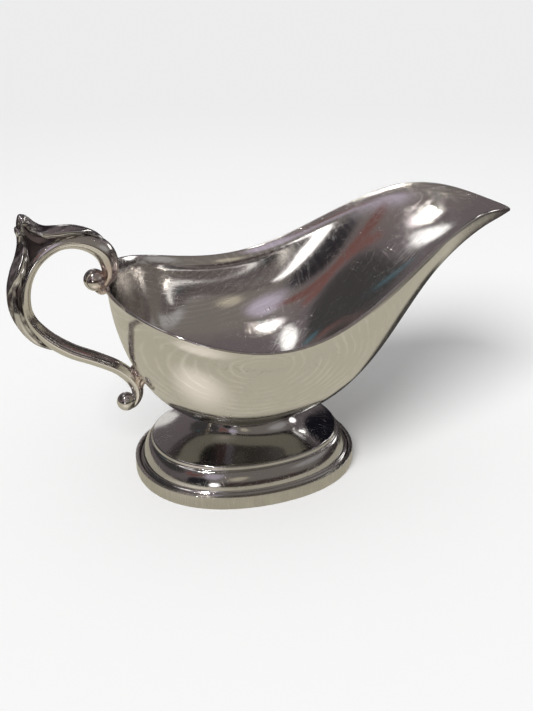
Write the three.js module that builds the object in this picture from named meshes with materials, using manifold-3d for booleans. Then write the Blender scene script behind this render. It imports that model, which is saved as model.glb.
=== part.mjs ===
// A silver plated sauce boat on an oval stepped foot, with a leaf capped scroll handle.
// Millimetres, +Z up. X runs from the handle to the lip of the spout, Y across the boat.
// The shapes are worked out about the middle of the foot, and the whole is then moved along X
// so that the origin is under the middle of its length.
import * as THREE from 'three';
import { LoftGeometry } from 'three/addons/geometries/LoftGeometry.js';
import { mergeVertices } from 'three/addons/utils/BufferGeometryUtils.js';
import Module from 'manifold-3d';

const wasm = await Module();
wasm.setup();

// Driving dimensions
const OVERALL = { back: -88, front: 114.5 }; // reach of the handle and of the spout from the foot's middle
const JOINT_GAP = 0.3;                       // clear space where two pieces meet

// Bowl: the edge of the rim at even steps of angle, from the tip of the spout (0) to the back (180)
const RIM = {
  length: [OVERALL.front, 36.5, -54],        // x at 0, 90 and 180 degrees
  halfWidth: [15, 31, 45.5, 53.5, 39.5],     // y at 30, 60, 90, 120 and 150 degrees
  height: [98, 101.5, 102, 81.5, 72.5, 80, 83] // z at 0, 30 ... 180 degrees
};
const BOTTOM = { halfLength: 18, halfWidth: 17, z: 30, rise: 0.04 };
const SHEET = 1.2;                           // thickness of the silver
const LIP = 4.1;                             // width of the flare at the rim
const BEND = 3.2;                            // height over which the wall turns into the flare
// How the wall curves, at the spout, at the sides and at the back: how far it runs out flat from
// the bottom, the angle it has under the flare, how long it keeps that angle, the angle of the flare
const WALL = {
  spout: { flat: 0.2, angle: 18, hold: 0.3, flare: 28 },
  side: { flat: 0.76, angle: 84, hold: 0.27, flare: 54 },
  back: { flat: 0.92, angle: 88, hold: 0.02, flare: 55 }
};

// Foot: its outline is an oval a little squarer than an ellipse, whose half width is less than its
// half length, by less and less up the dome until its throat is nearly round
const OVAL = { difference: 8, squareness: 0.06, roundAt: 14.5 };
const BAND = { halfLength: 45.8, height: 5.5, wall: 1.6, turnedEdge: 5, turnedHeight: 1.2, rounding: 0.35 };
// Stamped dome, as [half length, height]: the skirt inside the band, the ovolo, the fillet over it
// and the curve up to the throat
const SKIRT = { top: 4.9, shoulder: [0.6, 5.6] };
const OVOLO = { low: [42.6, 6], high: [39.2, 13] };
const FILLET = [[38.8, 13.3], [38.7, 14.5], [38.3, 14.9]];
const DOME = { edge: [37.5, 15], shoulder: [27, 17.2], throat: [17.2, 19.5], top: [17.2, 29.7] };
const BEAD_RADIUS = 0.7;                     // solder bead under the bowl

// Handle, in the plane y = 0: [x, z, half depth] from the curl at the rim to the curl at the bottom
const ARM = [
  [-53.2, 83.4, 1.2], [-50.7, 89, 3], [-52.4, 96.6, 3.7], [-59, 101.3, 3.4], [-67.5, 101.6, 2.7],
  [-76.2, 96.4, 2.5], [-81.6, 86.8, 2.5], [-82, 75.5, 2.6], [-77, 67.2, 2.8], [-68, 59.6, 2.9],
  [-58.6, 54.6, 2.8], [-50.2, 49.4, 2.7], [-44.9, 43.2, 2.7], [-43.7, 37.6, 2.2], [-45.4, 33.3, 1.6],
  [-48.2, 31.3, 0.8]
];
const ARM_WIDTH = 1.2;                       // its width across, as a share of its depth
const ARM_RIDGE = 0.25;                      // how far its sides fall away from the ridge along them
const UPPER_BALL = { x: -56.6, z: 86.3, radius: 4.1 };
const LOWER_BALL = { x: -48.4, z: 34.6, radius: 3.7 };

// Leaves: [x, z, half thickness, half width] from root to tip, with lobes along both edges
const LEAF_LOBES = 3;
const LEAF_NOTCH = 0.24;                     // depth of the notch between two lobes, of the half width
const LEAF_RIB = 0.35;                       // how far its faces fall away from the middle rib
const THUMB_LEAF = [
  [-54.4, 103.8, 0.8, 1.6], [-58.4, 105.1, 1.1, 3.2], [-63.4, 106, 1.7, 4.3], [-69, 106, 2, 4.7],
  [-73.8, 106.4, 2.3, 4.6], [-77.6, 108.4, 2.5, 3.9], [-80, 110.9, 1.7, 2.8], [-80.9, 112.8, 0.7, 1.3]
];
const BACK_LEAF = [
  [-80.2, 65.6, 0.8, 1.4], [-83.4, 71, 1.8, 3], [-85.3, 78, 2.6, 4.2], [-85.4, 85.5, 2.6, 4.7],
  [-83.8, 91.5, 2.6, 4.7], [-81.5, 97, 2.5, 4.3], [-80.2, 102, 2.2, 3.7], [-80.9, 105.6, 1.4, 2.8],
  [-81.9, 108, 0.8, 1.5]
];

// Solder at the handle's two seats: centre and half sizes
const RIM_SOLDER = { at: [-54.2, 0, 82.4], size: [2.6, 2.8, 1.9] };
const WALL_SOLDER = { at: [-42.9, 0, 45.2], size: [3, 4.4, 5.6] };

const AROUND = { bowl: 56, foot: 48, bead: 6, arm: 12, leaf: 12 };   // corners of each ring
const ARM_STEPS = 54;
const LEAF_STEPS = 24;
const OVOLO_STEPS = 4;
const DOME_STEPS = 7;
const BOWL_LEVELS = [0, 0.12, 0.25, 0.38, 0.51, 0.64, 0.77, 0.89, 1, 1.3, 1.6, 2];

const MERGE = 1e-3;                          // corners nearer than this are one
const NUDGE = 0.01;                          // step to either side that gives a direction
const RIM_FLOOR = 72.5;                      // lowest height of the rim, where the filled bowl is closed

const radians = THREE.MathUtils.degToRad;

function direction(degrees) {
  return new THREE.Vector2(Math.cos(radians(degrees)), Math.sin(radians(degrees)));
}

// Waves through values at even steps of a half turn, mirrored evenly or oddly past its ends
function evenWave(values, angle) {
  const steps = values.length - 1;
  let sum = 0;
  for (let j = 0; j <= steps; j++) {
    let part = 0;
    for (let k = 0; k <= steps; k++) {
      const share = k === 0 || k === steps ? 0.5 : 1;
      part += share * values[k] * Math.cos(Math.PI * j * k / steps);
    }
    sum += (j === 0 || j === steps ? 1 : 2) * part / steps * Math.cos(j * angle);
  }
  return sum;
}

function oddWave(values, angle) {
  const steps = values.length + 1;
  let sum = 0;
  for (let j = 1; j < steps; j++) {
    const part = values.reduce((s, v, k) => s + v * Math.sin(Math.PI * j * (k + 1) / steps), 0);
    sum += 2 * part / steps * Math.sin(j * angle);
  }
  return sum;
}

// A closed body through rings of points, its ends capped
function loft(rings) {
  return new LoftGeometry(rings, { capStart: true, capEnd: true });
}

// A closed body through rings that end in a point on the axis at each end
function poleLoft(rings, startZ, endZ) {
  const pole = z => rings[0].map(() => new THREE.Vector3(0, 0, z));
  return welded(new LoftGeometry([pole(startZ), ...rings, pole(endZ)]));
}

// A closed body through rings that come back to the first one
function ringLoft(rings) {
  return new LoftGeometry([...rings, rings[0]]);
}

function around(count, point) {
  return Array.from({ length: count }, (_, i) => point(2 * Math.PI * i / count));
}

// Value of a wall setting at an angle round the bowl
function wallSetting(name, angle) {
  const c = Math.cos(angle);
  const spout = (c * c + c) / 2;
  const back = (c * c - c) / 2;
  return WALL.spout[name] * spout + WALL.back[name] * back + WALL.side[name] * (1 - c * c);
}

// Outer surface of the bowl: angle round it, and t from the bottom (0) to the start of the bend (1),
// then the edge of the rim at t = 2
function bowlPoint(angle, t) {
  const rim = new THREE.Vector3(
    evenWave(RIM.length, angle), oddWave(RIM.halfWidth, angle), evenWave(RIM.height, angle));
  const foot = new THREE.Vector3(
    BOTTOM.halfLength * Math.cos(angle), BOTTOM.halfWidth * Math.sin(angle), BOTTOM.z);
  const out = new THREE.Vector3(rim.x - foot.x, rim.y - foot.y, 0);
  const edge = new THREE.Vector2(out.length(), rim.z - BOTTOM.z);
  const slope = direction(wallSetting('angle', angle));
  const corner = edge.clone().addScaledVector(direction(wallSetting('flare', angle)), -LIP);
  const top = corner.clone().addScaledVector(slope, -BEND);
  const flat = wallSetting('flat', angle) * corner.x;
  const low = new THREE.Vector2(flat, BOTTOM.rise * flat);
  const high = top.clone().addScaledVector(slope, -wallSetting('hold', angle) * corner.length());
  const profile = t < 1
    ? new THREE.CubicBezierCurve(new THREE.Vector2(), low, high, top).getPoint(t)
    : new THREE.QuadraticBezierCurve(top, corner, edge).getPoint(t - 1);
  return foot.addScaledVector(out.normalize(), profile.x).setZ(BOTTOM.z + profile.y);
}

// The same surface moved along its normal, inwards where the distance is positive
function bowlOffset(angle, t, distance) {
  const low = Math.max(t - NUDGE, 0);
  const high = Math.min(t + NUDGE, 2);
  const round = bowlPoint(angle + NUDGE, t).sub(bowlPoint(angle - NUDGE, t));
  const up = bowlPoint(angle, high).sub(bowlPoint(angle, low));
  const inward = up.cross(round).normalize();
  return bowlPoint(angle, t).addScaledVector(inward, distance);
}

// Rings of one side of the bowl's wall, from the bottom up
function bowlRings(distance) {
  return BOWL_LEVELS.map(t => around(AROUND.bowl, a => bowlOffset(a, t, distance)));
}

// Bowl wall between two offsets of the outer surface
function bowlShell(outer, inner) {
  return poleLoft([...bowlRings(outer), ...bowlRings(inner).reverse()],
    BOTTOM.z + outer, BOTTOM.z + inner);
}

// An oval of the foot
function footOval(halfLength, z) {
  const spread = (halfLength - OVAL.roundAt) / (DOME.edge[0] - OVAL.roundAt);
  const difference = OVAL.difference * Math.min(1, spread);
  return around(AROUND.foot, a => {
    const c = Math.cos(a);
    const s = Math.sin(a);
    return new THREE.Vector3(
      halfLength * c * (1 + OVAL.squareness * s * s),
      (halfLength - difference) * s * (1 + OVAL.squareness * c * c), z);
  });
}

// Plain upright band, its lower edge turned in flat to stand on
function footBand() {
  const { halfLength: r, height: top, wall, turnedEdge, turnedHeight, rounding } = BAND;
  const profile = [
    [r - rounding, 0], [r, rounding], [r, top - rounding], [r - rounding, top], [r - wall, top],
    [r - wall, turnedHeight], [r - turnedEdge, turnedHeight], [r - turnedEdge, 0]
  ];
  return ringLoft(profile.map(([x, z]) => footOval(x, z)));
}

// Stamped shell of the foot, open at the top under the bowl
function footDome() {
  const skirt = BAND.halfLength - BAND.wall - JOINT_GAP;
  const outer = [
    [skirt, BAND.turnedHeight + JOINT_GAP], [skirt, SKIRT.top],
    [skirt - SKIRT.shoulder[0], SKIRT.shoulder[1]]
  ];
  const [lowX, lowZ] = OVOLO.low;
  const [highX, highZ] = OVOLO.high;
  for (let i = 0; i <= OVOLO_STEPS; i++) {
    const a = Math.PI / 2 * i / OVOLO_STEPS;
    outer.push([highX + (lowX - highX) * Math.cos(a), lowZ + (highZ - lowZ) * Math.sin(a)]);
  }
  outer.push(...FILLET);
  const slope = new THREE.CubicBezierCurve(...Object.values(DOME).map(p => new THREE.Vector2(...p)));
  outer.push(...slope.getPoints(DOME_STEPS).map(p => p.toArray()));
  const curve = outer.map(([x, z]) => new THREE.Vector2(x, z));
  const inner = curve.map((p, i) => {
    const before = curve[Math.max(i - 1, 0)];
    const after = curve[Math.min(i + 1, curve.length - 1)];
    const along = after.clone().sub(before).normalize();
    return p.clone().add(new THREE.Vector2(-along.y, along.x).multiplyScalar(SHEET));
  });
  const profile = [...curve, ...inner.reverse()];
  return ringLoft(profile.map(p => footOval(p.x, p.y)));
}

// Bead of solder round the top of the foot, under the bowl
function solderBead() {
  const r = DOME.top[0] + JOINT_GAP + BEAD_RADIUS;
  const z = BOTTOM.z - JOINT_GAP - BEAD_RADIUS;
  const section = around(AROUND.bead, a => [r + BEAD_RADIUS * Math.cos(a), z + BEAD_RADIUS * Math.sin(a)]);
  return ringLoft(section.map(([x, height]) => footOval(x, height)));
}

// Sections across a path of [x, z, half depth, ...] stations: section gives the depth and width of
// each corner from the half depth, the angle round the section and the way along the path
function sweep(stations, steps, sides, section) {
  const line = new THREE.CatmullRomCurve3(
    stations.map(([x, z, depth]) => new THREE.Vector3(x, depth, z)), false, 'centripetal');
  const rings = [];
  for (let i = 0; i <= steps; i++) {
    const t = i / steps;
    const p = line.getPoint(t);
    const ahead = line.getPoint(Math.min(t + NUDGE / 10, 1));
    const behind = line.getPoint(Math.max(t - NUDGE / 10, 0));
    const along = new THREE.Vector3(ahead.x - behind.x, 0, ahead.z - behind.z).normalize();
    const out = new THREE.Vector3(along.z, 0, -along.x);
    rings.push(around(sides, a => {
      const [depth, width] = section(p.y, a, t);
      return new THREE.Vector3(p.x, 0, p.z).addScaledVector(out, depth).setY(width);
    }));
  }
  return loft(rings);
}

// Scrolled arm, rounded in and out, with a ridge along the middle of each side
function armBody(grow = 0) {
  return sweep(ARM, ARM_STEPS, AROUND.arm, (depth, a) => [
    (depth + grow) * Math.cos(a),
    (depth * ARM_WIDTH + grow) * Math.sin(a) * (1 - ARM_RIDGE * Math.abs(Math.cos(a)))
  ]);
}

// Leaf with a middle rib and lobed edges
function leafBody(stations, grow = 0) {
  const widths = new THREE.CatmullRomCurve3(
    stations.map(([x, z, , half]) => new THREE.Vector3(x, half, z)), false, 'centripetal');
  return sweep(stations, LEAF_STEPS, AROUND.leaf, (depth, a, t) => {
    const notch = LEAF_NOTCH * Math.abs(Math.cos(Math.PI * LEAF_LOBES * t)) ** 3;
    return [
      (depth + grow) * Math.cos(a) * (1 - LEAF_RIB * Math.abs(Math.sin(a))),
      (widths.getPoint(t).y * (1 - notch) + grow) * Math.sin(a)
    ];
  });
}

function ball({ x, z, radius }, grow = 0) {
  return new THREE.SphereGeometry(radius + grow, 20, 14).translate(x, 0, z);
}

function solder({ at, size }) {
  return new THREE.SphereGeometry(1, 18, 12).scale(...size).translate(...at);
}

// The same surface with its shared corners merged and its flattened triangles left out
function welded(geometry) {
  const bare = new THREE.BufferGeometry()
    .setAttribute('position', geometry.getAttribute('position'))
    .setIndex(geometry.index);
  const merged = mergeVertices(bare, MERGE);
  const corners = Array.from(merged.index.array);
  const kept = [];
  for (let i = 0; i < corners.length; i += 3) {
    const triangle = corners.slice(i, i + 3);
    if (new Set(triangle).size === 3) kept.push(...triangle);
  }
  return merged.setIndex(kept);
}

// Geometry to solid and back
function solid(geometry) {
  const merged = welded(geometry);
  return new wasm.Manifold(new wasm.Mesh({
    numProp: 3,
    vertProperties: merged.attributes.position.array,
    triVerts: new Uint32Array(merged.index.array)
  }));
}

function geometryOf(body) {
  const mesh = body.getMesh();
  return new THREE.BufferGeometry()
    .setAttribute('position', new THREE.BufferAttribute(mesh.vertProperties, 3))
    .setIndex(new THREE.BufferAttribute(mesh.triVerts, 1));
}

// What is left of a body when others are cut out of it: the largest piece, if they cut it in two
function cut(geometry, ...tools) {
  const left = tools.reduce((body, tool) => body.subtract(solid(tool)), solid(geometry));
  const pieces = left.decompose().sort((a, b) => b.volume() - a.volume());
  return geometryOf(pieces[0]);
}

// Pieces
const bowl = bowlShell(0, SHEET);
const bowlClearance = bowlShell(-JOINT_GAP, SHEET + JOINT_GAP);
const filledBowl = poleLoft(bowlRings(-JOINT_GAP), BOTTOM.z - JOINT_GAP, RIM_FLOOR);
const armClearance = armBody(JOINT_GAP);
const upperBall = cut(ball(UPPER_BALL), armClearance, bowlClearance);
const lowerBall = cut(ball(LOWER_BALL), armClearance);
const arm = cut(armBody(), bowlClearance);
const thumbLeaf = cut(leafBody(THUMB_LEAF), armClearance);
const backLeaf = cut(leafBody(BACK_LEAF), armClearance, leafBody(THUMB_LEAF, JOINT_GAP));
const outsideBowl = [bowlClearance, filledBowl];
const rimSolder = cut(solder(RIM_SOLDER), ...outsideBowl, armClearance, ball(UPPER_BALL, JOINT_GAP));
const wallSolder = cut(solder(WALL_SOLDER), ...outsideBowl, armClearance);

const plate = new THREE.MeshStandardMaterial({ color: 0xc9c6be, metalness: 1, roughness: 0.12 });
const brushed = new THREE.MeshStandardMaterial({ color: 0xbdb8a6, metalness: 1, roughness: 0.35 });
const darkened = new THREE.MeshStandardMaterial({ color: 0xa9a49c, metalness: 1, roughness: 0.25 });
const seam = new THREE.MeshStandardMaterial({ color: 0xd2cabb, metalness: 1, roughness: 0.3 });

const sauceBoat = new THREE.Group();
sauceBoat.position.x = -(OVERALL.back + OVERALL.front) / 2;

function place(name, geometry, material) {
  const mesh = new THREE.Mesh(geometry, material);
  mesh.name = name;
  sauceBoat.add(mesh);
}

place('bowl', bowl, plate);
place('foot_dome', footDome(), plate);
place('foot_band', footBand(), brushed);
place('foot_solder_bead', solderBead(), seam);
place('handle_arm', arm, plate);
place('handle_thumb_leaf', thumbLeaf, darkened);
place('handle_back_leaf', backLeaf, darkened);
place('handle_upper_ball', upperBall, plate);
place('handle_lower_ball', lowerBall, plate);
place('handle_rim_solder', rimSolder, seam);
place('handle_wall_solder', wallSolder, seam);

export default sauceBoat;
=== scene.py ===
# A silver plated sauce boat on an oval stepped foot, with a leaf capped scroll handle, modelled in
# fine mesh round its packed solids and shown in a plain pale studio.
# Sizes and places are in millimetres about the middle of the foot, and put() turns them into
# the frame's metres. X runs from the handle to the lip of the spout, Y across, Z up.
import math
from functools import lru_cache

import bmesh
import bpy
from bpy.props import FloatProperty, FloatVectorProperty, IntProperty, PointerProperty
from mathutils import Color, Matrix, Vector, noise


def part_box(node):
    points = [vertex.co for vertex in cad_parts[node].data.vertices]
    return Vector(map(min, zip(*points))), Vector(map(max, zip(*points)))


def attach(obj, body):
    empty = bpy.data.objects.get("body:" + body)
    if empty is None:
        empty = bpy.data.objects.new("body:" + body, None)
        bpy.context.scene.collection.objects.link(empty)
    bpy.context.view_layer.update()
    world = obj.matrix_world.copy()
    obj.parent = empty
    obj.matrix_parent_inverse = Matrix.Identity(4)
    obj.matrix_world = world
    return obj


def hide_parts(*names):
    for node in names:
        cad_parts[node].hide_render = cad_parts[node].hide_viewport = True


bl_info = {
    "name": "Sauce boat",
    "version": (1, 0, 0),
    "blender": (4, 5, 0),
    "location": "3D View > Sidebar > Sauce boat",
    "description": "Builds a footed silver plated sauce boat and the plain studio round it",
    "category": "Object",
}

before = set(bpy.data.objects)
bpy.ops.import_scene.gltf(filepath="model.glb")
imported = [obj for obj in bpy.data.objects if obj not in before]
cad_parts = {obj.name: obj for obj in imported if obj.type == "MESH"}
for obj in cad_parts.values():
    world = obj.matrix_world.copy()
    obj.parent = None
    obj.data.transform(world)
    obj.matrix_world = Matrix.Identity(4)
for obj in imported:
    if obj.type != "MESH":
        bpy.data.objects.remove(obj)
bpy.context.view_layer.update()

MM = 0.001
MICRON = 1e-6
BODY = "root"
FOOT_MIDDLE = sum(corner.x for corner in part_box("foot_band")) / 2   # x of the middle of the foot
TURN = 2 * math.pi
WELD = 1e-7

# Bowl: the edge of the rim at even steps of angle, from the tip of the spout (0) to the back (180)
RIM_LENGTH = (114.5, 36.5, -54)                # x at 0, 90 and 180 degrees
RIM_HALF_WIDTH = (15, 31, 45.5, 53.5, 39.5)    # y at 30, 60, 90, 120 and 150 degrees
RIM_HEIGHT = (98, 101.5, 102, 81.5, 72.5, 80, 83)  # z at 0, 30 ... 180 degrees
BOTTOM = Vector((18, 17, 30))                  # half length, half width and height of the flat bottom
BOTTOM_RISE = 0.04                             # slope of the underside as it leaves the bottom
AXES_STEP = 0.01                               # over which the wall's directions are measured
BEND = 3.2                                     # length over which the wall turns into the flare
# How the wall curves: how far it runs out flat from the bottom, the angle it has under the flare,
# how long it keeps that angle, and the angle of the flare
SPOUT_WALL = {"flat": 0.2, "angle": 18, "hold": 0.3, "flare": 28}
SIDE_WALL = {"flat": 0.76, "angle": 84, "hold": 0.27, "flare": 54}
BACK_WALL = {"flat": 0.92, "angle": 88, "hold": 0.02, "flare": 55}

# Foot: an oval a little squarer than an ellipse, nearly round at its throat. The points of its
# outline are (half length, height), and the curve of the dome has the points that it bends towards.
OVAL_DIFFERENCE = 8                            # half length less half width, of the wide parts
OVAL_SQUARENESS = 0.06
OVAL_ROUND_AT = 14.5                           # half length at which the oval would be round
BAND = {"half_length": 45.8, "wall": 1.6, "turned_edge": 5, "turned_height": 1.2}
SKIRT_TOP = 4.9
SHOULDER = (0.6, 5.6)                          # how far in from the skirt, and its height
OVOLO_LOW = (42.6, 6)
OVOLO_HIGH = (39.2, 13)
OVOLO_POWER = 1.4                              # 1 is a quarter of an ellipse, and more is flatter
FILLET = ((38.8, 13.3), (38.7, 14.5), (38.3, 14.9))
DOME_CURVE = ((37.5, 15), (27, 17.2), (17.2, 19.5), (17.2, 29.7))
GAP = 0.3                                      # between pieces that are soldered together

# Handle in the plane y = 0: (x, z, half depth) from the curl at the rim to the curl at the bottom
ARM = (
    (-53.2, 83.4, 1.2), (-50.7, 89, 3), (-52.4, 96.6, 3.7), (-59, 101.3, 3.4), (-67.5, 101.6, 2.7),
    (-76.2, 96.4, 2.5), (-81.6, 86.8, 2.5), (-82, 75.5, 2.6), (-77, 67.2, 2.8), (-68, 59.6, 2.9),
    (-58.6, 54.6, 2.8), (-50.2, 49.4, 2.7), (-44.9, 43.2, 2.7), (-43.7, 37.6, 2.2), (-45.4, 33.3, 1.6),
    (-48.2, 31.3, 0.8),
)
UPPER_BALL = (-56.6, 86.3, 4.1)                # x, z, radius
LOWER_BALL = (-48.4, 34.6, 3.7)
BALL_DETAIL = 5
# Leaves: (x, z, half thickness, half width, reach of the keel under it). Both run against the clock
# seen from the front, so that their outer faces point away from the loop.
THUMB_LEAF = (
    (-51.4, 99.6, 0.6, 1.2, 0), (-54.6, 102.9, 1.1, 2.6, 0), (-58.6, 104.9, 1.4, 3.5, 0),
    (-63.4, 106, 1.7, 4.3, 0), (-69, 106, 2, 4.7, 0.8), (-73.8, 106.4, 2.3, 4.6, 3),
    (-77.4, 108.1, 2.6, 4.1, 3.4), (-79.2, 110.4, 2.3, 3.3, 1), (-80.1, 112.1, 1.6, 2.2, 0),
    (-80.5, 113, 0.6, 0.9, 0),
)
BACK_LEAF = (
    (-82.2, 108.7, 0.6, 0.9, 0), (-81.6, 107.6, 1.3, 1.9, 0), (-80.4, 105.4, 2, 3, 2.6),
    (-80.1, 102, 2.5, 3.9, 4.8), (-81.5, 97, 2.6, 4.4, 3), (-83.8, 91.5, 2.6, 4.7, 1.4),
    (-85.4, 85.5, 2.6, 4.7, 0.8), (-85.3, 78, 2.6, 4.2, 0.8), (-83.2, 71, 2.1, 3.3, 0.5),
    (-79.6, 65.3, 1.5, 2.5, 0), (-75.2, 61.8, 0.8, 1.6, 0), (-71.6, 60.2, 0.2, 0.8, 0),
)
THUMB_LOBES = 2
BACK_LOBES = 3
LOBE_SWEEP = 0.35                              # how far a lobe's edge trails, as a share of a lobe
VEINS = 4                                      # along each lobe
# Where the handle's lines lie round its section: angle from the outer face and half width, in radians
ARM_GROOVE = (1.8, 0.15)
LEAF_HOLLOW = (0.75, 0.55)
LEAF_LIP = (1.95, 0.22)
LEAF_KEEL = (math.pi, 0.7)
ARM_RIDGE_ROUNDING = 0.05                      # as a share of the half width
RIM_SOLDER = ((-54.2, 0, 82.4), (2.6, 2.8, 1.9))   # centre and half sizes
WALL_SOLDER = ((-42.9, 0, 45.2), (3, 4.4, 5.6))
SOLDER_LUMPS = (0.16, 2.4)                     # their height and how close they lie, on a ball of 1


# Settings that a user would change

class BowlSettings(bpy.types.PropertyGroup):
    """Sizes of the bowl"""

    sheet: FloatProperty(name="Sheet", description="Thickness of the metal", default=0.0012,
                         unit="LENGTH")
    lip: FloatProperty(name="Lip", description="Width of the flare at the rim", default=0.0041,
                       unit="LENGTH")
    columns: IntProperty(name="Columns", description="Faces round the bowl", default=224, min=48)


class FootSettings(bpy.types.PropertyGroup):
    """Sizes of the foot"""

    band_height: FloatProperty(name="Band height", description="Height of the upright band",
                               default=0.0055, unit="LENGTH")
    bead: FloatProperty(name="Solder bead", description="Radius of the bead under the bowl",
                        default=0.0007, unit="LENGTH")
    columns: IntProperty(name="Columns", description="Faces round the foot", default=192, min=48)


class HandleSettings(bpy.types.PropertyGroup):
    """Form of the handle"""

    arm_width: FloatProperty(name="Arm width", description="Width of the arm as a share of its depth",
                             default=1.2)
    arm_ridge: FloatProperty(name="Arm ridge", description="How far the sides fall from their ridge",
                             default=0.25, min=0, max=1, subtype="FACTOR")
    arm_groove: FloatProperty(name="Arm groove", description="Depth of the line beside the ridge",
                              default=0.05, min=0, max=1, subtype="FACTOR")
    leaf_rib: FloatProperty(name="Leaf rib", description="Hollow on either side of a leaf's rib",
                            default=0.3, min=0, max=1, subtype="FACTOR")
    leaf_lip: FloatProperty(name="Leaf lip", description="Depth of the line under a leaf's edge",
                            default=0.14, min=0, max=1, subtype="FACTOR")
    leaf_notch: FloatProperty(name="Leaf notch", description="Depth of the cuts between lobes",
                              default=0.33, min=0, max=1, subtype="FACTOR")
    leaf_vein: FloatProperty(name="Leaf vein", description="Height of the veins",
                             default=0.1, min=0, max=1, subtype="FACTOR")


class FinishSettings(bpy.types.PropertyGroup):
    """Colours of the metal"""

    silver: FloatVectorProperty(name="Silver", description="Polished plate",
                                subtype="COLOR", size=3, default=(0.80, 0.785, 0.765))
    worn: FloatVectorProperty(name="Worn plate", description="Band and solder",
                              subtype="COLOR", size=3, default=(0.77, 0.745, 0.70))
    # This colour also paints the shade on the keel side under the leaves
    tarnish_and_painted_shade: FloatVectorProperty(name="Tarnish", description="Hollows of the leaves",
                                 subtype="COLOR", size=3, default=(0.12, 0.1, 0.11))
    copper: FloatVectorProperty(name="Copper", description="Where the plate is worn through",
                                subtype="COLOR", size=3, default=(0.82, 0.62, 0.55))


class StageSettings(bpy.types.PropertyGroup):
    """Light and camera"""

    lens: FloatProperty(name="Lens", description="Focal length", default=45.563, unit="CAMERA")
    floor: FloatVectorProperty(name="Floor", description="Colour of the floor", subtype="COLOR", size=3,
                               default=(0.98, 0.98, 0.98))
    # The near and far floor colours paint a fall-off of light across the floor
    floor_far: FloatVectorProperty(name="Far floor", description="Colour of the floor far behind",
                                   subtype="COLOR", size=3, default=(0.865, 0.865, 0.865))
    ambient: FloatProperty(name="Ambient", description="Strength of the light from all round",
                           default=0.41)
    backdrop: FloatProperty(name="Backdrop", description="Strength of the wall behind", default=0.84)
    key: FloatProperty(name="Key", description="Strength of the light from the front left", default=2.7)
    key_width: FloatProperty(name="Key width", description="Angle that the light spreads over",
                             default=0.5, subtype="ANGLE")


SETTINGS = {
    "boat_bowl": BowlSettings, "boat_foot": FootSettings, "boat_handle": HandleSettings,
    "boat_finish": FinishSettings, "boat_stage": StageSettings,
}


# Shapes

def put(x, y, z):
    """Millimetres about the middle of the foot to the frame's metres"""
    return Vector((x * MM + FOOT_MIDDLE, y * MM, z * MM))


def mix(a, b, share):
    return a + (b - a) * share


def smooth(low, high, value):
    """0 below low, 1 above high, and smooth between them"""
    share = min(max((value - low) / (high - low), 0), 1)
    return share * share * (3 - 2 * share)


def bump(middle, half_width, value):
    """1 at the middle and 0 past the half width on either side"""
    return 1 - smooth(0, half_width, abs(value - middle))


def soft_abs(value, rounding):
    """The value without its sign, with the corner at 0 rounded"""
    return math.sqrt(value * value + rounding * rounding) - rounding


def heading(degrees):
    """Direction at an angle above the horizontal, in a section"""
    return Vector((math.cos(math.radians(degrees)), math.sin(math.radians(degrees))))


def even_wave(values, angle):
    """Cosines through values at even steps of a half turn"""
    steps = len(values) - 1
    total = 0
    for j in range(steps + 1):
        part = sum((0.5 if k in (0, steps) else 1) * value * math.cos(math.pi * j * k / steps)
                   for k, value in enumerate(values))
        total += (1 if j in (0, steps) else 2) * part / steps * math.cos(j * angle)
    return total


def odd_wave(values, angle):
    """Sines through values at even steps inside a half turn"""
    steps = len(values) + 1
    total = 0
    for j in range(1, steps):
        part = sum(value * math.sin(math.pi * j * (k + 1) / steps) for k, value in enumerate(values))
        total += 2 * part / steps * math.sin(j * angle)
    return total


def bezier(points, share):
    """Point on the curve whose control points these are"""
    points = list(points)
    while len(points) > 1:
        points = [a.lerp(b, share) for a, b in zip(points, points[1:])]
    return points[0]


def rounded(points, radius, steps=4):
    """The same line of 2D points with its inner corners rounded off"""
    points = [Vector(p) for p in points]
    line = [points[0]]
    for before, corner, after in zip(points, points[1:], points[2:]):
        start = corner + (before - corner).normalized() * min(radius, (before - corner).length / 2)
        end = corner + (after - corner).normalized() * min(radius, (after - corner).length / 2)
        line += [bezier((start, corner, end), i / steps) for i in range(steps + 1)]
    return line + [points[-1]]


class Path:
    """Smooth curve through stations, each a row of numbers that starts with x and z"""

    ROUNDS = 3   # of evening out

    def __init__(self, stations, steps):
        self.steps = steps
        points = [self.through(stations, i / steps) for i in range(steps + 1)]
        for _ in range(self.ROUNDS):
            points = [
                point if i in (0, steps) else (points[i - 1] + point * 2 + points[i + 1]) / 4
                for i, point in enumerate(points)
            ]
        self.points = points

    @staticmethod
    def through(stations, share):
        """Centripetal curve through the stations, spaced by x, z and the third number"""
        rows = [Vector(row) for row in stations]
        rows = [rows[0] * 2 - rows[1], *rows, rows[-1] * 2 - rows[-2]]
        place = share * (len(stations) - 1)
        i = min(int(place), len(stations) - 2)
        level = rows[i:i + 4]
        knots = [0]
        for a, b in zip(level, level[1:]):
            knots.append(knots[-1] + (Vector(b[:3]) - Vector(a[:3])).length ** 0.5)
        at = mix(knots[1], knots[2], place - i)
        for lows, highs in (((0, 1, 2), (1, 2, 3)), ((0, 1), (2, 3)), ((1,), (2,))):
            level = [
                a.lerp(b, (at - knots[low]) / (knots[high] - knots[low]))
                for a, b, low, high in zip(level, level[1:], lows, highs)
            ]
        return level[0]

    def at(self, row):
        return self.points[row]

    def out(self, row):
        """Direction square to the curve, away from the loop of the handle"""
        ahead = self.points[min(row + 1, self.steps)]
        behind = self.points[max(row - 1, 0)]
        along = Vector((ahead[0] - behind[0], ahead[1] - behind[1])).normalized()
        return Vector((along[1], -along[0]))


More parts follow.
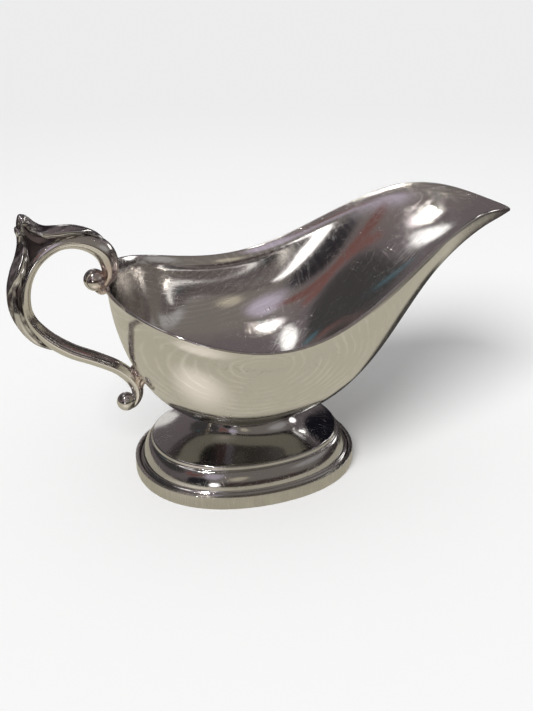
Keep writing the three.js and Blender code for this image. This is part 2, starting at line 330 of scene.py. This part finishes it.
def surface(name, columns, rows, place, closed_rows=False):
    """Object from a grid whose corners go where place(column, row) says, in millimetres.
    Its last column meets its first, and rows of one point close its ends."""
    bm = bmesh.new()
    bm.loops.layers.uv.new("UVMap")
    bmesh.ops.create_grid(bm, x_segments=columns, y_segments=rows, size=0.5, calc_uvs=True)
    for vert in bm.verts:
        column = round((vert.co.x + 0.5) * columns) % columns
        row = round((vert.co.y + 0.5) * rows)
        vert.co = put(*place(column, row % rows if closed_rows else row))
    return to_object(name, bm)


def to_object(name, bm):
    """Welds the mesh, turns it outwards and makes it a smooth object"""
    bmesh.ops.remove_doubles(bm, verts=bm.verts, dist=WELD)
    bmesh.ops.dissolve_degenerate(bm, edges=bm.edges, dist=WELD)
    bmesh.ops.recalc_face_normals(bm, faces=bm.faces)
    for face in bm.faces:
        face.smooth = True
    mesh = bpy.data.meshes.new(name)
    bm.to_mesh(mesh)
    bm.free()
    made = bpy.data.objects.new(name, mesh)
    bpy.context.scene.collection.objects.link(made)
    return made


def seat(piece, node, material):
    """Lets a finished piece stand for its CAD node"""
    piece.data.materials.append(material)
    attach(piece, BODY)
    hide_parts(node)


# Bowl

def wall_setting(name, angle):
    """How the wall curves at an angle round the bowl, between spout, side and back"""
    c = math.cos(angle)
    ends = SPOUT_WALL[name] * (c * c + c) + BACK_WALL[name] * (c * c - c)
    return ends / 2 + SIDE_WALL[name] * (1 - c * c)


@lru_cache(maxsize=None)
def bowl_section(angle, lip):
    """Foot, outward direction and control points of the wall at an angle round the bowl"""
    rim = Vector((
        even_wave(RIM_LENGTH, angle), odd_wave(RIM_HALF_WIDTH, angle), even_wave(RIM_HEIGHT, angle),
    ))
    foot = Vector((BOTTOM.x * math.cos(angle), BOTTOM.y * math.sin(angle), BOTTOM.z))
    out = Vector((rim.x - foot.x, rim.y - foot.y))
    edge = Vector((out.length, rim.z - BOTTOM.z))
    slope = heading(wall_setting("angle", angle))
    corner = edge - heading(wall_setting("flare", angle)) * lip
    top = corner - slope * BEND
    flat = wall_setting("flat", angle) * corner.x
    low = Vector((flat, BOTTOM_RISE * flat))
    high = top - slope * wall_setting("hold", angle) * corner.length
    return foot, out.normalized(), (Vector((0, 0)), low, high, top), (top, corner, edge)


def bowl_point(angle, t, lip):
    """Outer surface of the bowl, from the bottom (0) to the start of the bend (1) and the edge (2)"""
    foot, out, wall, flare = bowl_section(angle, lip)
    profile = bezier(wall, t) if t < 1 else bezier(flare, t - 1)
    return foot + Vector((out.x * profile.x, out.y * profile.x, profile.y))


def bowl_axes(angle, t, lip):
    """Inward normal and upward direction of the outer surface"""
    low, high = max(t - AXES_STEP, 0), min(t + AXES_STEP, 2)
    sideways = bowl_point(angle + AXES_STEP, t, lip) - bowl_point(angle - AXES_STEP, t, lip)
    up = (bowl_point(angle, high, lip) - bowl_point(angle, low, lip)).normalized()
    return up.cross(sideways).normalized(), up


class MESH_OT_boat_bowl(bpy.types.Operator):
    """Raised bowl with its flared rim and long spout, one sheet with a rounded edge"""

    bl_idname = "mesh.boat_bowl"
    bl_label = "Bowl"

    WALL_ROWS = 44
    FLARE_ROWS = 12
    EDGE_ROWS = 8

    def execute(self, context):
        settings = context.scene.boat_bowl
        sheet, lip = settings.sheet / MM, settings.lip / MM
        last = 2 - sheet / 4 / lip   # where the outer surface stops, half a sheet below the edge
        levels = [i / self.WALL_ROWS for i in range(self.WALL_ROWS)]
        levels += [mix(1, last, i / self.FLARE_ROWS) for i in range(self.FLARE_ROWS + 1)]
        profile = [(t, 0, 0) for t in levels]
        for i in range(1, self.EDGE_ROWS):
            turn = math.pi * i / self.EDGE_ROWS
            profile.append((last, sheet / 2 * (1 - math.cos(turn)), sheet / 2 * math.sin(turn)))
        profile += [(t, sheet, 0) for t in reversed(levels)]
        rows = len(profile) + 1

        def place(column, row):
            if row in (0, rows):
                return 0, 0, BOTTOM.z + (sheet if row else 0)
            t, depth, over = profile[row - 1]
            angle = TURN * column / settings.columns
            inward, up = bowl_axes(angle, t, lip)
            return bowl_point(angle, t, lip) + inward * depth + up * over

        bowl = surface("silver_bowl", settings.columns, rows, place)
        seat(bowl, "bowl", polished_plate())
        return {"FINISHED"}


# Foot

def foot_point(half_length, z, angle):
    """Point of the oval with this half length, at an angle round it"""
    spread = (half_length - OVAL_ROUND_AT) / (DOME_CURVE[0][0] - OVAL_ROUND_AT)
    half_width = half_length - OVAL_DIFFERENCE * min(1, spread)
    c, s = math.cos(angle), math.sin(angle)
    x = half_length * c * (1 + OVAL_SQUARENESS * s * s)
    y = half_width * s * (1 + OVAL_SQUARENESS * c * c)
    return x, y, z


def foot_ring(name, outline, columns):
    """Closed ring whose section is this outline of (half length, height)"""
    def place(column, row):
        return foot_point(*outline[row], TURN * column / columns)

    return surface(name, columns, len(outline), place, closed_rows=True)


class MESH_OT_boat_foot_band(bpy.types.Operator):
    """Plain upright band that the boat stands on, its lower edge turned in"""

    bl_idname = "mesh.boat_foot_band"
    bl_label = "Foot band"

    ROUNDING = 0.35

    def execute(self, context):
        settings = context.scene.boat_foot
        r, top = BAND["half_length"], settings.band_height / MM
        inner, turned, low = r - BAND["wall"], r - BAND["turned_edge"], BAND["turned_height"]
        start = (r - 1, 0)
        corners = [start, (r, 0), (r, top), (inner, top), (inner, low), (turned, low), (turned, 0), start]
        outline = rounded(corners, self.ROUNDING)[:-1]
        band = foot_ring("silver_foot_band", outline, settings.columns)
        seat(band, "foot_band", brushed_band())
        return {"FINISHED"}


class MESH_OT_boat_foot_dome(bpy.types.Operator):
    """Stamped foot: skirt, cove, ovolo, fillet and the hollow curve up to the throat"""

    bl_idname = "mesh.boat_foot_dome"
    bl_label = "Foot dome"

    OVOLO_ROWS = 16
    DOME_ROWS = 30
    SHOULDER_ROUNDING = 0.3
    FILLET_ROUNDING = 0.25

    def execute(self, context):
        settings = context.scene.boat_foot
        sheet = context.scene.boat_bowl.sheet / MM
        skirt = BAND["half_length"] - BAND["wall"] - GAP
        shoulder = (skirt - SHOULDER[0], SHOULDER[1])
        lower = [(skirt, BAND["turned_height"] + GAP), (skirt, SKIRT_TOP), shoulder, OVOLO_LOW]
        outer = rounded(lower, self.SHOULDER_ROUNDING)
        low, high = Vector(OVOLO_LOW), Vector(OVOLO_HIGH)
        for i in range(1, self.OVOLO_ROWS + 1):
            turn = math.pi / 2 * i / self.OVOLO_ROWS
            back, up = max(math.cos(turn), 0) ** OVOLO_POWER, math.sin(turn) ** OVOLO_POWER
            outer.append(Vector((mix(high.x, low.x, back), mix(low.y, high.y, up))))
        outer += rounded([OVOLO_HIGH, *FILLET, DOME_CURVE[0]], self.FILLET_ROUNDING)[1:-1]
        curve = [Vector(p) for p in DOME_CURVE]
        outer += [bezier(curve, i / self.DOME_ROWS) for i in range(self.DOME_ROWS + 1)]
        inner = []
        for i, point in enumerate(outer):
            along = (outer[min(i + 1, len(outer) - 1)] - outer[max(i - 1, 0)]).normalized()
            inner.append(point + Vector((-along.y, along.x)) * sheet)
        dome = foot_ring("silver_foot_dome", outer + inner[::-1], settings.columns)
        seat(dome, "foot_dome", polished_foot())
        return {"FINISHED"}


class MESH_OT_boat_foot_bead(bpy.types.Operator):
    """Bead of solder round the throat of the foot"""

    bl_idname = "mesh.boat_foot_bead"
    bl_label = "Foot solder"

    SIDES = 12

    def execute(self, context):
        settings = context.scene.boat_foot
        bead = settings.bead / MM
        r = DOME_CURVE[-1][0] + GAP + bead
        z = BOTTOM.z - GAP - bead
        turns = [TURN * i / self.SIDES for i in range(self.SIDES)]
        outline = [(r + bead * math.cos(turn), z + bead * math.sin(turn)) for turn in turns]
        piece = foot_ring("solder_foot_bead", outline, settings.columns)
        seat(piece, "foot_solder_bead", solder_metal())
        return {"FINISHED"}


# Handle

def swept(name, path, columns, section):
    """Closed body along a path: section gives (depth, width) of a corner from the path's values,
    the angle round the section and the way along"""
    rows = path.steps + 2

    def place(column, row):
        station = min(max(row - 1, 0), path.steps)
        values = path.at(station)
        x, z = values[0], values[1]
        if row in (0, rows):
            return x, 0, z
        depth, width = section(values, TURN * column / columns, station / path.steps)
        out = path.out(station)
        return x + out.x * depth, width, z + out.y * depth

    return surface(name, columns, rows, place)


class MESH_OT_boat_handle_arm(bpy.types.Operator):
    """Scrolled arm with a ridge along the middle of each side"""

    bl_idname = "mesh.boat_handle_arm"
    bl_label = "Handle arm"

    STEPS = 260
    COLUMNS = 96

    def execute(self, context):
        settings = context.scene.boat_handle

        def section(values, turn, share):
            depth = values[2]
            fall = 1 - settings.arm_ridge * soft_abs(math.cos(turn), ARM_RIDGE_ROUNDING)
            fall -= settings.arm_groove * bump(*ARM_GROOVE, min(turn, TURN - turn))
            return depth * math.cos(turn), depth * settings.arm_width * math.sin(turn) * fall

        arm = swept("silver_handle_arm", Path(ARM, self.STEPS), self.COLUMNS, section)
        seat(arm, "handle_arm", handle_plate())
        return {"FINISHED"}


def leaf_section(settings, lobes, sweep):
    """Section with a middle rib, a rolled lip, lobes, veins and a keel down to the arm"""
    def section(values, turn, share):
        fold = min(turn, TURN - turn)
        across = math.sin(fold)
        lobe = lobes * share - sweep * across
        notch = settings.leaf_notch * abs(math.cos(math.pi * lobe)) ** 5 * across
        vein = settings.leaf_vein * math.cos(TURN * VEINS * lobe) * smooth(0.3, 0.8, across)
        hollow = settings.leaf_rib * bump(*LEAF_HOLLOW, fold)
        lip = settings.leaf_lip * bump(*LEAF_LIP, fold)
        depth = values[2] * math.cos(turn) * (1 - hollow) * (1 - notch - lip)
        depth += values[2] * vein * math.cos(turn) - values[4] * bump(*LEAF_KEEL, fold)
        return depth, values[3] * math.sin(turn) * (1 - notch - lip)

    return section


class MESH_OT_boat_handle_leaves(bpy.types.Operator):
    """Leaf along the top of the handle and the longer one up its back"""

    bl_idname = "mesh.boat_handle_leaves"
    bl_label = "Handle leaves"

    STEPS = 200
    COLUMNS = 128

    def execute(self, context):
        leaves = (
            ("thumb_leaf", THUMB_LEAF, THUMB_LOBES, LOBE_SWEEP),
            ("back_leaf", BACK_LEAF, BACK_LOBES, -LOBE_SWEEP),
        )
        for name, stations, lobes, sweep in leaves:
            section = leaf_section(context.scene.boat_handle, lobes, sweep)
            leaf = swept("silver_" + name, Path(stations, self.STEPS), self.COLUMNS, section)
            seat(leaf, "handle_" + name, leaf_metal(name, lobes, sweep))
        return {"FINISHED"}


class MESH_OT_boat_handle_balls(bpy.types.Operator):
    """Balls in the two curls of the handle"""

    bl_idname = "mesh.boat_handle_balls"
    bl_label = "Handle balls"

    def execute(self, context):
        for name, (x, z, radius) in (("upper", UPPER_BALL), ("lower", LOWER_BALL)):
            bm = bmesh.new()
            bmesh.ops.create_icosphere(bm, subdivisions=BALL_DETAIL, radius=radius * MM)
            bmesh.ops.translate(bm, verts=bm.verts, vec=put(x, 0, z))
            ball = to_object(f"silver_{name}_ball", bm)
            seat(ball, f"handle_{name}_ball", handle_plate())
        return {"FINISHED"}


class MESH_OT_boat_handle_solder(bpy.types.Operator):
    """Solder at the handle's two seats on the bowl"""

    bl_idname = "mesh.boat_handle_solder"
    bl_label = "Handle solder"

    def execute(self, context):
        height, closeness = SOLDER_LUMPS
        for name, (centre, half) in (("rim", RIM_SOLDER), ("wall", WALL_SOLDER)):
            bm = bmesh.new()
            bmesh.ops.create_icosphere(bm, subdivisions=BALL_DETAIL, radius=1)
            for vert in bm.verts:
                vert.co *= 1 + height * noise.noise(vert.co * closeness)
            bmesh.ops.scale(bm, verts=bm.verts, vec=Vector(half) * MM)
            bmesh.ops.translate(bm, verts=bm.verts, vec=put(*centre))
            lump = to_object(f"solder_{name}", bm)
            seat(lump, f"handle_{name}_solder", solder_metal())
        return {"FINISHED"}


# Materials

# Colour sockets of a Mix node
MIX_A = 6
MIX_B = 7
MIX_RESULT = 2

# Polishing swirls on the wall: their middle, their stretch, and the distances between which they grow
SWIRL_MIDDLE = (-10.75, 0, 66.9)
SWIRL_SCALE = Vector((0.5, 0, 1))
SWIRL_REACH = (36 * MM, 14 * MM)
# Painted shade: the outside of the bowl is darkened below the belly
BELLY_PAINTED_SHADE = (48.2 * MM, 43 * MM)           # heights between which it grows, under the belly
WORN_SPOT = (-50, -4, 87)                      # beside the handle's upper seat
WORN_REACH = (13 * MM, 5 * MM)                 # distances between which the wear grows
SCRATCHES = ((0.25, 0.66), (1.1, 0.67), (1.9, 0.67), (2.8, 0.66))   # angle, and noise at the edge
SCRATCH_SOFTNESS = 0.05


class Wire:
    """Output of a node. Sums, products and powers of numbers add Math nodes."""

    def __init__(self, shader, socket):
        self.shader = shader
        self.socket = socket

    def math(self, operation, *others, turned=False):
        values = [self, *others]
        if turned:
            values.reverse()
        return self.shader.wire("Math", dict(enumerate(values)), {"operation": operation})

    def __add__(self, other):
        return self.math("ADD", other)

    __radd__ = __add__

    def __mul__(self, other):
        return self.math("MULTIPLY", other)

    __rmul__ = __mul__

    def __sub__(self, other):
        return self.math("SUBTRACT", other)

    def __rsub__(self, other):
        return self.math("SUBTRACT", other, turned=True)

    def __pow__(self, other):
        return self.math("POWER", other)


class Shader:
    """Nodes of one material or of the world"""

    def __init__(self, owner):
        self.owner = owner
        owner.use_nodes = True
        self.tree = owner.node_tree
        self.tree.nodes.clear()

    def node(self, kind, sockets=None, settings=None):
        """A new node: its settings are set first, then the values or links of its sockets"""
        made = self.tree.nodes.new("ShaderNode" + kind)
        for key, value in (settings or {}).items():
            setattr(made, key, value)
        for key, value in (sockets or {}).items():
            if isinstance(value, Wire):
                self.tree.links.new(value.socket, made.inputs[key])
            else:
                made.inputs[key].default_value = value
        return made

    def wire(self, kind, sockets=None, settings=None, output=0):
        return Wire(self, self.node(kind, sockets, settings).outputs[output])

    def parts(self, vector):
        """The three numbers of a vector"""
        return [Wire(self, output) for output in self.node("SeparateXYZ", {0: vector}).outputs]

    def measure(self, operation, *vectors):
        """The number that Vector Math gives, such as a length or a distance"""
        return self.wire("VectorMath", dict(enumerate(vectors)), {"operation": operation}, "Value")

    def fade(self, value, start, end):
        """0 where the value is at the start, 1 where it is at the end, and smooth between them"""
        return self.wire("MapRange", {"Value": value, "From Min": start, "From Max": end},
                         {"interpolation_type": "SMOOTHSTEP"})

    def blend(self, share, first, second):
        """Colour between two colours, each three numbers or a wire"""
        first, second = (c if isinstance(c, Wire) else (*c, 1) for c in (first, second))
        return self.wire("Mix", {0: share, MIX_A: first, MIX_B: second}, {"data_type": "RGBA"},
                         MIX_RESULT)

    def noise(self, scale, detail=3, stretch=(1, 1, 1), place=None):
        """Clouds on the object's own place, or on another that is given"""
        place = place or self.wire("TexCoord", output="Object")
        place = self.wire("Mapping", {"Vector": place, "Scale": stretch})
        return self.wire("TexNoise", {"Vector": place, "Scale": scale, "Detail": detail})


def metal(name, build):
    """Material of that name, made once: build returns its colour, its roughness and the height of
    its surface in thousandths of a millimetre"""
    if name in bpy.data.materials:
        return bpy.data.materials[name]
    shader = Shader(bpy.data.materials.new(name))
    colour, roughness, height = build(shader)
    normal = shader.wire("Bump", {"Strength": 1, "Distance": MICRON, "Height": height})
    principled = shader.wire("BsdfPrincipled", {
        "Base Color": colour, "Metallic": 1, "Roughness": roughness, "Normal": normal,
    })
    shader.node("OutputMaterial", {"Surface": principled})
    return shader.owner


def finishes():
    return bpy.context.scene.boat_finish


def scuffs(shader, width, length):
    """Sparse fine scratches along the surface, 1 on a scratch and 0 beside it.
    The width and length are what the UV map spans, in millimetres."""
    total = 0
    for angle, edge in SCRATCHES:
        place = shader.wire("Mapping", {
            "Vector": shader.wire("TexCoord", output="UV"),
            "Rotation": (0, 0, angle), "Scale": (width, length, 1),
        })
        grain = shader.noise(2.6, 1, (1, 0.035, 1), place)
        total = total + shader.fade(grain, edge, edge + SCRATCH_SOFTNESS)
    return total * shader.noise(45, 2)


def polished_plate():
    """Bowl: bright plate with soft dents, fine scratches and a warm cast, with polishing swirls on
    the wall whose lines are painted lighter as a glint, and painted shade under the belly"""
    def build(shader):
        silver = finishes().silver
        cloud = shader.noise(18)
        smudge = shader.noise(70, 5, (1, 1, 0.6))
        marks = scuffs(shader, width=290, length=200)
        colour = shader.blend(cloud * 0.6, silver, finishes().worn)

        place = shader.wire("Mapping", {
            "Vector": shader.wire("TexCoord", output="Object"),
            "Location": -put(*SWIRL_MIDDLE) * SWIRL_SCALE, "Scale": SWIRL_SCALE,
        })
        swirl = shader.wire("TexWave", {
            "Vector": place, "Scale": 170, "Distortion": 8, "Detail": 3, "Detail Scale": 0.35,
        }, {"wave_type": "RINGS", "rings_direction": "Y"}, "Fac")
        worked = shader.fade(shader.measure("LENGTH", place), *SWIRL_REACH)
        broken = shader.wire("MapRange", {
            "Value": shader.noise(90, 4), "From Min": 0.4, "From Max": 0.65,
        })
        # Partly real, partly painted light: the polishing swirls are marks in the plate, and their lines
        # are painted lighter than the silver as a glint
        colour = shader.blend(swirl ** 4 * broken * worked, colour, silver * 1.2)

        # Painted shade: the outside of the bowl is darkened to 0.42 of the silver below the belly
        _, through, _ = shader.parts(shader.wire("TexCoord", output="UV"))
        _, _, level = shader.parts(shader.wire("TexCoord", output="Object"))
        outside = through.math("LESS_THAN", 0.5)
        under = shader.fade(level + smudge * 0.002, *BELLY_PAINTED_SHADE)
        colour = shader.blend(under * outside, colour, silver * 0.42)

        roughness = 0.07 + smudge * 0.07 + marks * 0.3 + swirl * 0.03
        height = shader.noise(55, 1) * 40 + swirl * 2 + smudge * 4 + marks * 5
        return colour, roughness, height

    return metal("polished plate", build)


def polished_foot():
    """Foot: bright plate, harder than the bowl, its colour painted darker as shade"""
    def build(shader):
        cloud = shader.noise(40)
        marks = scuffs(shader, width=240, length=130)
        # Partly painted shade: the silver is darkened to between 0.9 and 0.6 of the bowl's, varying at
        # random in clouds
        colour = shader.blend(cloud, finishes().silver * 0.9, finishes().silver * 0.6)
        return colour, 0.08 + marks * 0.3 + cloud * 0.06, shader.noise(90, 2) * 25 + marks * 5

    return metal("polished foot", build)


def handle_plate():
    """Handle: cast and polished, pinkish where the plate is worn at the upper seat"""
    def build(shader):
        cast = shader.noise(240, 3)
        marks = scuffs(shader, width=18, length=170)
        offset = shader.measure("DISTANCE", shader.wire("TexCoord", output="Object"), put(*WORN_SPOT))
        rubbed = shader.fade(offset + cast * 0.004, *WORN_REACH)
        colour = shader.blend(shader.noise(90), finishes().silver, finishes().worn)
        colour = shader.blend(rubbed * 0.5, colour, finishes().copper)
        return colour, 0.09 + cast * 0.08 + marks * 0.3, cast * 9 + marks * 5

    return metal("handle plate", build)


def brushed_band():
    """Band: satin plate with fine upright marks, duller in spots"""
    def build(shader):
        marks = shader.noise(1400, 2, (1, 1, 0.02))
        spots = shader.noise(130, 4)
        colour = shader.blend(spots * 0.5 + marks * 0.6, finishes().worn, finishes().worn * 0.66)
        return colour, 0.16 + marks * 0.16 + spots * 0.1, marks * 30

    return metal("brushed plate", build)


def leaf_metal(name, lobes, sweep):
    """Leaf: cast plate, tarnished in the hollows, cuts and veins, with painted shade on its keel
    under it, and rubbed bright on its lip
    """
    def build(shader):
        share_round, share_along, _ = shader.parts(shader.wire("TexCoord", output="UV"))
        turn = share_round * TURN
        across = turn.math("SINE").math("ABSOLUTE")
        lobe = share_along * lobes - across * sweep
        cut = (lobe * math.pi).math("COSINE").math("ABSOLUTE") ** 3
        vein = (lobe * (TURN * VEINS)).math("COSINE")
        blotches = shader.noise(420, 5)
        # Painted shade on the keel side, under the leaf; the cuts, veins and blotches are tarnished
        # hollows, and the leaf also darkens towards its rib
        under = (turn.math("COSINE") * -1).math("MAXIMUM", 0)
        hollow = cut * 0.8 - vein * 0.24 + (1 - across) * 0.5 + under * 0.7 + (blotches - 0.5) * 1.6
        tarnish_and_painted_shade = shader.fade(hollow, 0.2, 1.25)
        colour = shader.blend(tarnish_and_painted_shade, finishes().silver * 0.9, finishes().tarnish_and_painted_shade)
        return colour, 0.14 + tarnish_and_painted_shade * 0.22, blotches * 30 - tarnish_and_painted_shade * 12

    return metal(name.replace("_", " "), build)


def solder_metal():
    """Solder: lumpy, dull and a little pink"""
    def build(shader):
        lumps = shader.noise(500, 4)
        colour = shader.blend(lumps, finishes().worn, finishes().copper)
        return colour, 0.18 + lumps * 0.2, lumps * 60

    return metal("solder", build)


# Stage

# What the metal mirrors, seen from the boat: azimuth from +X towards +Y and elevation of each
# patch's middle, its half width and half height, its tilt to the left (all degrees), its softness
# as a share of its size, and its linear colour
SURROUNDINGS = {
    "front": (285, 28, 60, 45, 0, 0.6, (0.2, 0.18, 0.165)),
    "lawn": (10, 4, 40, 12, 0, 0.5, (0.06, 0.05, 0.05)),
    "hedge": (262, 2, 75, 9, 0, 0.5, (0.055, 0.04, 0.037)),
    "dark wall": (155, 32, 36, 18, 0, 0.3, (0.055, 0.052, 0.052)),
    "doorway": (221, 9, 14, 14, 0, 0.3, (0.024, 0.022, 0.026)),
    "blue edge": (130, 42, 4, 5, 30, 0.6, (0.072, 0.14, 0.17)),
    "haze": (237, 34, 9, 13, 0, 0.8, (0.5, 0.45, 0.54)),
    "sky": (155, 63, 18, 6, 0, 0.5, (1.5, 1.48, 1.48)),
    "low sky": (214, 60, 5, 9, 0, 0.7, (1.6, 1.5, 1.55)),
    "bricks": (215, 30, 3.5, 13, -62, 0.4, (0.18, 0.08, 0.07)),
    "chimney": (203, 33, 3.5, 7, 0, 0.4, (0.2, 0.09, 0.08)),
    "sunlit wall": (240, 5, 4.5, 5, 0, 0.4, (3.5, 3.4, 3.4)),
    "gap": (17, 19, 9, 7, 0, 0.4, (2.4, 2.37, 2.35)),
    "lamp": (31, 43, 4, 3, 0, 0.5, (6, 6, 5.8)),
    "path": (262, 22, 8, 6, 30, 0.5, (0.5, 0.45, 0.36)),
    "pale cloud": (330, 26, 20, 10, 0, 0.7, (0.36, 0.35, 0.35)),
    "black door": (55, 33, 15, 17, 0, 0.3, (0.008, 0.008, 0.012)),
    "window": (87, 18, 5, 9, 0, 0.3, (0.98, 0.96, 0.94)),
    "sun": (218, 61.5, 2, 2, 0, 0.4, (150, 145, 137)),
}
PATCH_WOBBLE = 0.5                             # how ragged the patches' edges are
ROOM_COLOUR = (0.15, 0.127, 0.134)
ROOM_RADIUS = 4                                # metres

# The table that the metal mirrors: a beige board, and round patches on it with the x and y of
# their middle, the radius at which they start and the radius inside which they are full
BOARD_COLOUR = Color((0.49, 0.46, 0.375))
BOARD_GRAIN = 0.15
BOARD = (-40, 0, 285, 255)
SHADOW_COLOUR = (0.05, 0.047, 0.043)
BOARD_PATCHES = {
    "sun in front of the handle": (-75, -62, 60, 10, (0.85, 0.78, 0.69)),
    "shadow behind the spout": (110, 90, 95, 75, SHADOW_COLOUR),
    "shadow beside the foot": (50, 20, 28, 20, SHADOW_COLOUR),
}
GROUND_COLOUR = (0.06, 0.05, 0.05)
TABLE_RADIUS = 3.92                            # metres
TABLE_HEIGHT = 0.05                            # keeps it just clear of the floor

FLOOR_HALF = 6                                 # metres
FLOOR_FADE = (0.9, 0.05)                       # metres, from the far colour to the near one
KEY_DIRECTION = (226, 41)                      # azimuth and elevation
CAMERA_PLACE = (-96.12, -312.81, 201.87)
CAMERA_TARGET = (9.644, 0, 45.656)
SENSOR_WIDTH = 36


def compass(azimuth, elevation):
    """Direction of an azimuth and an elevation in degrees"""
    around, up = math.radians(azimuth), math.radians(elevation)
    return Vector((math.cos(around) * math.cos(up), math.sin(around) * math.cos(up), math.sin(up)))


def mirrored_only(piece):
    """Shown by reflections alone: it neither hides, shades nor lights anything"""
    piece.visible_camera = False
    piece.visible_diffuse = False
    piece.visible_shadow = False
    piece.visible_transmission = False


def glow(name, build):
    """Material that shines in the colours that build returns"""
    shader = Shader(bpy.data.materials.new(name))
    emission = shader.wire("Emission", {"Color": build(shader), "Strength": 1})
    shader.node("OutputMaterial", {"Surface": emission})
    return shader.owner


def room_colours(shader):
    """Soft patches on the room, each at its own direction"""
    direction = shader.wire("VectorMath", {0: shader.wire("TexCoord", output="Object")},
                            {"operation": "NORMALIZE"})
    wobble = (shader.noise(3, 4) - 0.5) * PATCH_WOBBLE
    colour = ROOM_COLOUR
    for azimuth, elevation, width, height, tilt, softness, tone in SURROUNDINGS.values():
        middle = compass(azimuth, elevation)
        side = compass(azimuth + 90, 0)
        rise = middle.cross(side)
        lean = math.radians(tilt)
        across = (side * math.cos(lean) + rise * math.sin(lean)) / math.sin(math.radians(width))
        along = (rise * math.cos(lean) - side * math.sin(lean)) / math.sin(math.radians(height))
        x, y, ahead = (shader.measure("DOT_PRODUCT", direction, axis) for axis in (across, along, middle))
        reach = (x * x + y * y) ** 0.5 + wobble
        inside = shader.fade(reach, 1 + softness / 2, 1 - softness / 2)
        colour = shader.blend(inside * ahead.math("GREATER_THAN", 0), colour, tone)
    return colour


def board_colours(shader):
    """Beige board under the boat, in sun and shadow, with dark ground beyond its edge"""
    place = shader.wire("TexCoord", output="Object")

    def near(x, y, far, close):
        return shader.fade(shader.measure("DISTANCE", place, put(x, y, 0)), far * MM, close * MM)

    grain = shader.noise(160, 4)
    board = shader.blend(grain, BOARD_COLOUR * (1 - BOARD_GRAIN), BOARD_COLOUR * (1 + BOARD_GRAIN))
    for x, y, far, close, tone in BOARD_PATCHES.values():
        board = shader.blend(near(x, y, far, close), board, tone)
    return shader.blend(near(*BOARD), GROUND_COLOUR, board)


class MESH_OT_boat_stage(bpy.types.Operator):
    """Pale floor, what the metal mirrors, soft light and the camera"""

    bl_idname = "mesh.boat_stage"
    bl_label = "Stage"

    def execute(self, context):
        settings = context.scene.boat_stage
        self.floor(settings)
        self.surroundings()
        self.light(context, settings)
        self.camera(context, settings)
        context.scene.view_settings.view_transform = "Standard"
        return {"FINISHED"}

    def floor(self, settings):
        bm = bmesh.new()
        bmesh.ops.create_grid(bm, x_segments=1, y_segments=1, size=FLOOR_HALF)
        floor = to_object("floor", bm)
        shader = Shader(bpy.data.materials.new("floor"))
        offset = shader.measure("LENGTH", shader.wire("TexCoord", output="Object"))
        # Painted light: the floor is painted lighter near the boat and darker far from it, as a fall-off
        # of light
        colour = shader.blend(shader.fade(offset, *FLOOR_FADE), settings.floor_far, settings.floor)
        diffuse = shader.wire("BsdfDiffuse", {"Color": colour})
        shader.node("OutputMaterial", {"Surface": diffuse})
        floor.data.materials.append(shader.owner)

    def surroundings(self):
        bm = bmesh.new()
        bmesh.ops.create_icosphere(bm, subdivisions=4, radius=ROOM_RADIUS)
        room = to_object("room", bm)
        room.data.materials.append(glow("room", room_colours))
        bm = bmesh.new()
        bmesh.ops.create_circle(bm, cap_ends=True, segments=64, radius=TABLE_RADIUS)
        bmesh.ops.translate(bm, verts=bm.verts, vec=(0, 0, TABLE_HEIGHT * MM))
        table = to_object("table", bm)
        table.data.materials.append(glow("table", board_colours))
        for piece in (room, table):
            mirrored_only(piece)

    def light(self, context, settings):
        world = bpy.data.worlds.new("studio")
        context.scene.world = world
        sky = Shader(world)
        path = sky.node("LightPath")
        kinds = ("Camera", "Glossy", "Transmission")
        seen = sum(Wire(sky, path.outputs[f"Is {kind} Ray"]) for kind in kinds).math("MINIMUM", 1)
        strength = seen * (settings.backdrop - settings.ambient) + settings.ambient
        background = sky.wire("Background", {"Color": (1, 1, 1, 1), "Strength": strength})
        sky.node("OutputWorld", {"Surface": background})
        lamp = bpy.data.lights.new("key", "SUN")
        lamp.energy = settings.key
        lamp.angle = settings.key_width
        key = bpy.data.objects.new("key", lamp)
        key.rotation_euler = compass(*KEY_DIRECTION).to_track_quat("Z", "Y").to_euler()
        key.visible_glossy = False
        context.scene.collection.objects.link(key)

    def camera(self, context, settings):
        lens = bpy.data.cameras.new("camera")
        lens.lens = settings.lens
        lens.sensor_width = SENSOR_WIDTH
        camera = bpy.data.objects.new("camera", lens)
        camera.location = put(*CAMERA_PLACE)
        view = put(*CAMERA_TARGET) - camera.location
        camera.rotation_euler = view.to_track_quat("-Z", "Y").to_euler()
        context.scene.collection.objects.link(camera)
        context.scene.camera = camera


OPERATORS = (
    MESH_OT_boat_bowl, MESH_OT_boat_foot_dome, MESH_OT_boat_foot_band, MESH_OT_boat_foot_bead,
    MESH_OT_boat_handle_arm, MESH_OT_boat_handle_leaves, MESH_OT_boat_handle_balls,
    MESH_OT_boat_handle_solder, MESH_OT_boat_stage,
)


class VIEW3D_PT_boat(bpy.types.Panel):
    """Buttons that make the pieces, in order, and the settings that they use"""

    bl_label = "Sauce boat"
    bl_space_type = "VIEW_3D"
    bl_region_type = "UI"
    bl_category = "Sauce boat"

    def draw(self, context):
        for operator in OPERATORS:
            self.layout.operator(operator.bl_idname)
        for name, group in SETTINGS.items():
            box = self.layout.box()
            box.label(text=group.__doc__)
            for setting in group.__annotations__:
                box.prop(getattr(context.scene, name), setting)


def register():
    for group in SETTINGS.values():
        bpy.utils.register_class(group)
    for name, group in SETTINGS.items():
        setattr(bpy.types.Scene, name, PointerProperty(type=group))
    for operator in OPERATORS:
        bpy.utils.register_class(operator)
    bpy.utils.register_class(VIEW3D_PT_boat)


def unregister():
    bpy.utils.unregister_class(VIEW3D_PT_boat)
    for operator in reversed(OPERATORS):
        bpy.utils.unregister_class(operator)
    for name, group in SETTINGS.items():
        delattr(bpy.types.Scene, name)
        bpy.utils.unregister_class(group)


def main():
    register()
    for operator in OPERATORS:
        group, name = operator.bl_idname.split(".")
        getattr(getattr(bpy.ops, group), name)()


if __name__ == "__main__":
    main()
